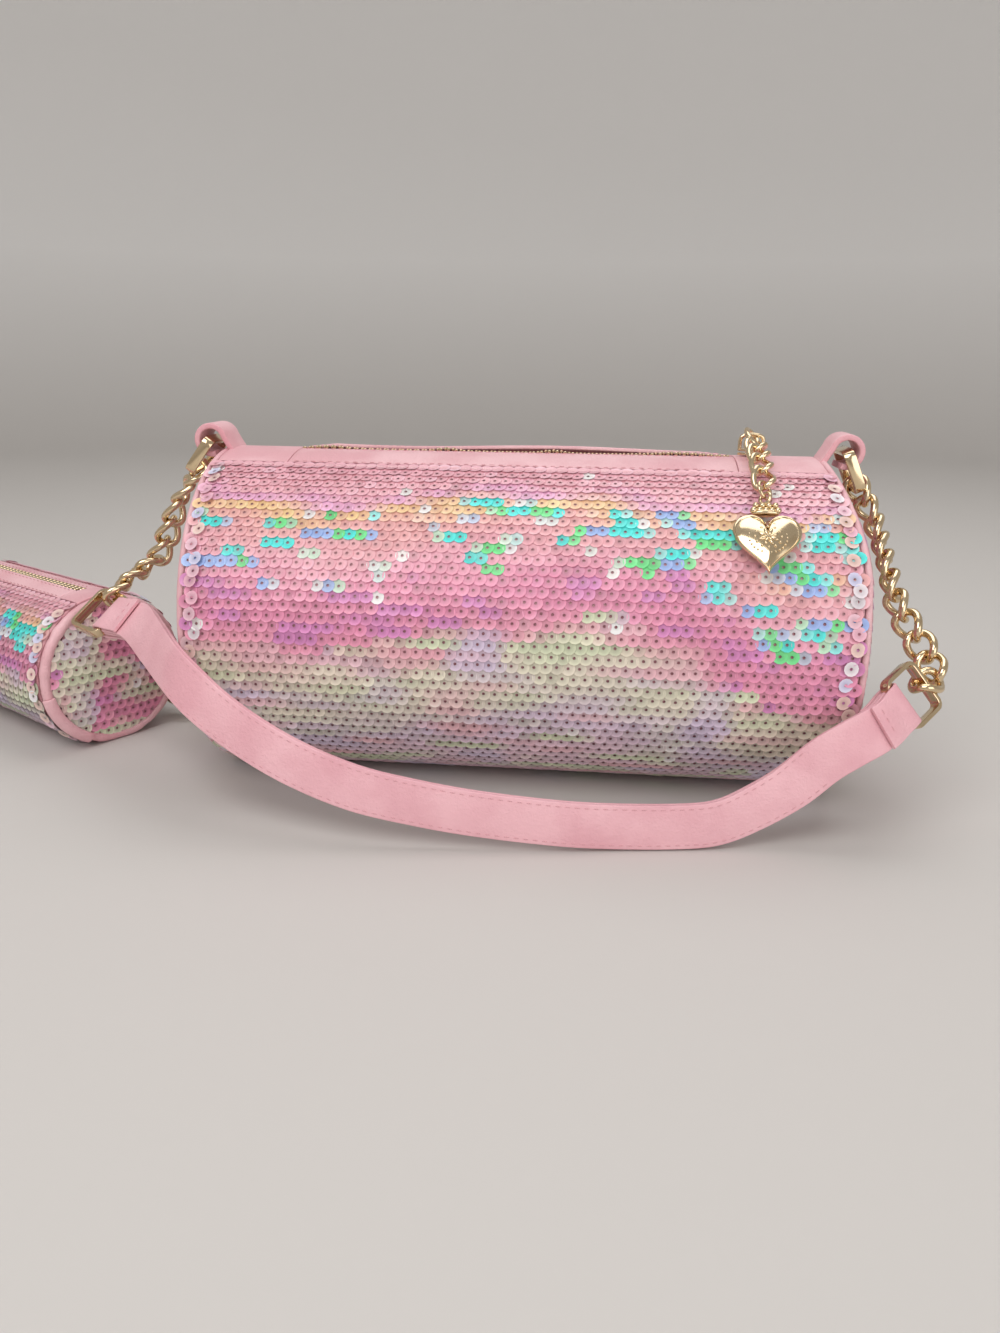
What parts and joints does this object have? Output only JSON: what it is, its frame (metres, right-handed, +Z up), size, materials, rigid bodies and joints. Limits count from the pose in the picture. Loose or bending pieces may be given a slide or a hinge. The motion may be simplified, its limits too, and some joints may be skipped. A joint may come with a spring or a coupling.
{
  "type": "shoulder bag",
  "caption": "Barrel-shaped sequinned shoulder bag with a leather zip top, a strap on chains, a heart charm and a small matching barrel pouch.",
  "frame": {"origin": "middle of the flat line that the barrel rests on", "axes": "+X along the barrel to the wearer's right end, +Y to the back, +Z up"},
  "size_m": [0.4231, 0.1684, 0.1292],
  "materials": {
    "sequin_shell_material": "overlapping iridescent sequins on fabric",
    "padding_material": "soft wadding",
    "lining_material": "plain woven lining",
    "inner_pocket_material": "plain woven lining",
    "end_panel_left_material": "overlapping iridescent sequins on fabric",
    "end_panel_right_material": "overlapping iridescent sequins on fabric",
    "end_lining_left_material": "plain woven lining",
    "end_lining_right_material": "plain woven lining",
    "rim_piping_left_material": "soft grained calf leather",
    "rim_piping_right_material": "soft grained calf leather",
    "zip_end_left_material": "soft grained calf leather",
    "zip_end_right_material": "soft grained calf leather",
    "end_strip_left_material": "soft grained calf leather",
    "end_strip_right_material": "soft grained calf leather",
    "tab_left_material": "soft grained calf leather",
    "tab_right_material": "soft grained calf leather",
    "tether_eye_material": "polished pale gold plate",
    "tether_chain_material": "polished pale gold plate",
    "lip_front_material": "soft grained calf leather",
    "zip_tape_front_material": "ribbed zip tape",
    "zip_teeth_front_material": "polished pale gold plate",
    "lip_back_material": "soft grained calf leather",
    "zip_tape_back_material": "ribbed zip tape",
    "zip_teeth_back_material": "polished pale gold plate",
    "zip_slider_material": "polished pale gold plate",
    "pull_links_material": "polished pale gold plate",
    "jump_ring_material": "polished pale gold plate",
    "heart_cap_material": "polished pale gold plate",
    "heart_material": "polished pale gold plate",
    "tab_ring_left_material": "polished pale gold plate",
    "tab_ring_right_material": "polished pale gold plate",
    "chain_left_material": "polished pale gold plate",
    "chain_right_material": "polished pale gold plate",
    "strap_outer_ply_material": "soft grained calf leather",
    "strap_inner_ply_material": "soft grained calf leather",
    "strap_fold_left_material": "soft grained calf leather",
    "strap_fold_right_material": "soft grained calf leather",
    "strap_ring_left_material": "polished pale gold plate",
    "strap_ring_right_material": "polished pale gold plate",
    "pouch_sequin_shell_material": "overlapping iridescent sequins on fabric",
    "pouch_end_panel_near_material": "overlapping iridescent sequins on fabric",
    "pouch_end_panel_far_material": "overlapping iridescent sequins on fabric",
    "pouch_rim_piping_near_material": "soft grained calf leather",
    "pouch_rim_piping_far_material": "soft grained calf leather",
    "pouch_zip_end_near_material": "soft grained calf leather",
    "pouch_zip_end_far_material": "soft grained calf leather",
    "pouch_piping_wrap_material": "soft grained calf leather",
    "pouch_ring_material": "polished pale gold plate",
    "pouch_lip_front_material": "soft grained calf leather",
    "pouch_zip_tape_front_material": "ribbed zip tape",
    "pouch_zip_teeth_front_material": "polished pale gold plate",
    "pouch_lip_back_material": "soft grained calf leather",
    "pouch_zip_tape_back_material": "ribbed zip tape",
    "pouch_zip_teeth_back_material": "polished pale gold plate",
    "pouch_zip_slider_material": "polished pale gold plate",
    "pouch_pull_material": "polished pale gold plate"
  },
  "bodies": {
    "bag": {"sequin_shell": "sequin_shell_material", "padding": "padding_material", "lining": "lining_material", "inner_pocket": "inner_pocket_material", "end_panel_left": "end_panel_left_material", "end_panel_right": "end_panel_right_material", "end_lining_left": "end_lining_left_material", "end_lining_right": "end_lining_right_material", "rim_piping_left": "rim_piping_left_material", "rim_piping_right": "rim_piping_right_material", "zip_end_left": "zip_end_left_material", "zip_end_right": "zip_end_right_material", "end_strip_left": "end_strip_left_material", "end_strip_right": "end_strip_right_material", "tab_left": "tab_left_material", "tab_right": "tab_right_material", "tether_eye": "tether_eye_material", "tether_chain": "tether_chain_material"},
    "lip_front": {"lip_front": "lip_front_material", "zip_tape_front": "zip_tape_front_material", "zip_teeth_front": "zip_teeth_front_material"},
    "lip_back": {"lip_back": "lip_back_material", "zip_tape_back": "zip_tape_back_material", "zip_teeth_back": "zip_teeth_back_material"},
    "slider": {"zip_slider": "zip_slider_material"},
    "pull": {"pull_links": "pull_links_material"},
    "charm": {"jump_ring": "jump_ring_material", "heart_cap": "heart_cap_material", "heart": "heart_material"},
    "strap": {"tab_ring_left": "tab_ring_left_material", "tab_ring_right": "tab_ring_right_material", "chain_left": "chain_left_material", "chain_right": "chain_right_material", "strap_outer_ply": "strap_outer_ply_material", "strap_inner_ply": "strap_inner_ply_material", "strap_fold_left": "strap_fold_left_material", "strap_fold_right": "strap_fold_right_material", "strap_ring_left": "strap_ring_left_material", "strap_ring_right": "strap_ring_right_material"},
    "pouch": {"pouch_sequin_shell": "pouch_sequin_shell_material", "pouch_end_panel_near": "pouch_end_panel_near_material", "pouch_end_panel_far": "pouch_end_panel_far_material", "pouch_rim_piping_near": "pouch_rim_piping_near_material", "pouch_rim_piping_far": "pouch_rim_piping_far_material", "pouch_zip_end_near": "pouch_zip_end_near_material", "pouch_zip_end_far": "pouch_zip_end_far_material", "pouch_piping_wrap": "pouch_piping_wrap_material", "pouch_ring": "pouch_ring_material"},
    "pouch_lip_front": {"pouch_lip_front": "pouch_lip_front_material", "pouch_zip_tape_front": "pouch_zip_tape_front_material", "pouch_zip_teeth_front": "pouch_zip_teeth_front_material"},
    "pouch_lip_back": {"pouch_lip_back": "pouch_lip_back_material", "pouch_zip_tape_back": "pouch_zip_tape_back_material", "pouch_zip_teeth_back": "pouch_zip_teeth_back_material"},
    "pouch_slider": {"pouch_zip_slider": "pouch_zip_slider_material"},
    "pouch_pull": {"pouch_pull": "pouch_pull_material"}
  },
  "joints": [
    {"name": "lip_front_hinge", "type": "hinge", "parent": "bag", "child": "lip_front", "pos_m": [0, -0.02146, 0.11556], "axis": [1, 0, 0], "range_deg": [0, 70]},
    {"name": "lip_back_hinge", "type": "hinge", "parent": "bag", "child": "lip_back", "pos_m": [0, 0.02146, 0.11556], "axis": [-1, 0, 0], "range_deg": [0, 70]},
    {"name": "slider_slide", "type": "slide", "parent": "bag", "child": "slider", "axis": [-1, 0, 0], "range_m": [0, 0.1735]},
    {"name": "pull_hinge", "type": "hinge", "parent": "slider", "child": "pull", "pos_m": [0.081, 0, 0.127], "axis": [-1, 0, 0], "range_deg": [0, 100]},
    {"name": "heart_hinge", "type": "hinge", "parent": "pull", "child": "charm", "pos_m": [0.081, -0.03818, 0.11311], "axis": [-1, 0, 0], "range_deg": [0, 50]},
    {"name": "strap_hinge", "type": "hinge", "parent": "bag", "child": "strap", "pos_m": [0, 0, 0.1219], "axis": [-1, 0, 0], "range_deg": [0, 220], "deforming": ["tab_left", "tab_right"]},
    {"name": "pouch_swing", "type": "hinge", "parent": "bag", "child": "pouch", "pos_m": [-0.16398, 0.02862, 0.01462], "axis": [0, 0, 1], "range_deg": [-10, 5]},
    {"name": "pouch_lip_front_hinge", "type": "hinge", "parent": "pouch", "child": "pouch_lip_front", "pos_m": [-0.20839, 0.03089, 0.05848], "axis": [-0.8415, 0.5402, 0], "range_deg": [0, 70]},
    {"name": "pouch_lip_back_hinge", "type": "hinge", "parent": "pouch", "child": "pouch_lip_back", "pos_m": [-0.22017, 0.01254, 0.05848], "axis": [0.8415, -0.5402, 0], "range_deg": [0, 70]},
    {"name": "pouch_slider_slide", "type": "slide", "parent": "pouch", "child": "pouch_slider", "axis": [0.8415, -0.5402, 0], "range_m": [0, 0.088]},
    {"name": "pouch_pull_hinge", "type": "hinge", "parent": "pouch_slider", "child": "pouch_pull", "pos_m": [-0.2551, 0.04791, 0.0682], "axis": [0.8415, -0.5402, 0], "range_deg": [0, 90]}
  ]
}
